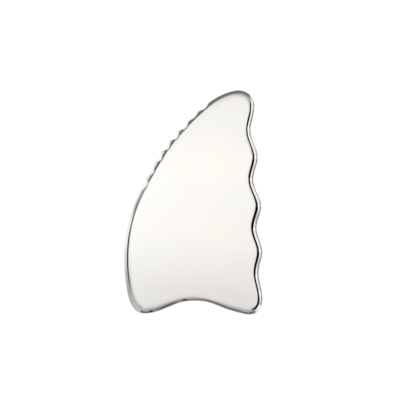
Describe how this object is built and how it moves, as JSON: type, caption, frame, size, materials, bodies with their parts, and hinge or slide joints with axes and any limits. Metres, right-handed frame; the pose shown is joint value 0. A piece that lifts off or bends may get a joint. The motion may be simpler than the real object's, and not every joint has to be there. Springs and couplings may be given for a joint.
{
  "type": "gua sha scraper",
  "caption": "Fin-shaped polished steel gua sha plate with a rounded rim, a comb edge, finger waves and a concave foot, for scraping massage.",
  "frame": {"origin": "middle of the bounding box, on the back face that the plate lies on", "axes": "+Z out of the front face, through the thickness; +Y to the tip; +X to the finger-wave edge, with the comb on the -X side"},
  "size_m": [0.0588, 0.0954, 0.005],
  "materials": {
    "polished_steel": "mirror-polished solid stainless steel, not plated"
  },
  "bodies": {
    "root": {"scraper_body": "polished_steel"}
  },
  "joints": []
}
